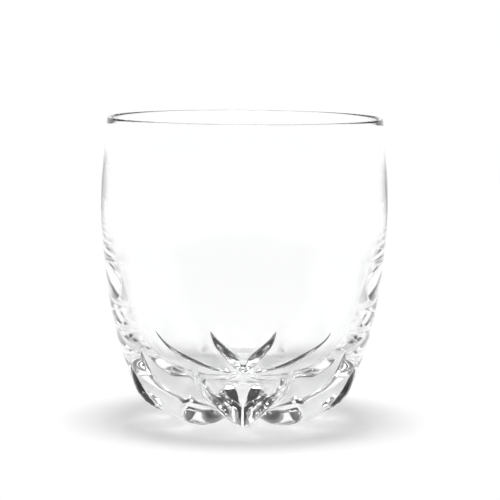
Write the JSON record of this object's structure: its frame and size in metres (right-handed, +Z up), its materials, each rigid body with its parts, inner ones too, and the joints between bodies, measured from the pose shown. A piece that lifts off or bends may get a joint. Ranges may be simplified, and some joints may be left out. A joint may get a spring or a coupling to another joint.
{
  "type": "whiskey tumbler",
  "caption": "Clear glass whiskey tumbler with a smooth barrel body, a thin round rim and a thick petal cut base that stands on a ring of keel shaped feet.",
  "frame": {"origin": "centre of the base, on the surface the tumbler stands on", "axes": "+Z up along the axis of the tumbler and out of its mouth; one foot points to -Y"},
  "size_m": [0.0904, 0.0904, 0.0959],
  "materials": {
    "clear_glass": "clear, colourless and fire polished"
  },
  "bodies": {
    "root": {"glass_tumbler": "clear_glass"}
  },
  "joints": []
}
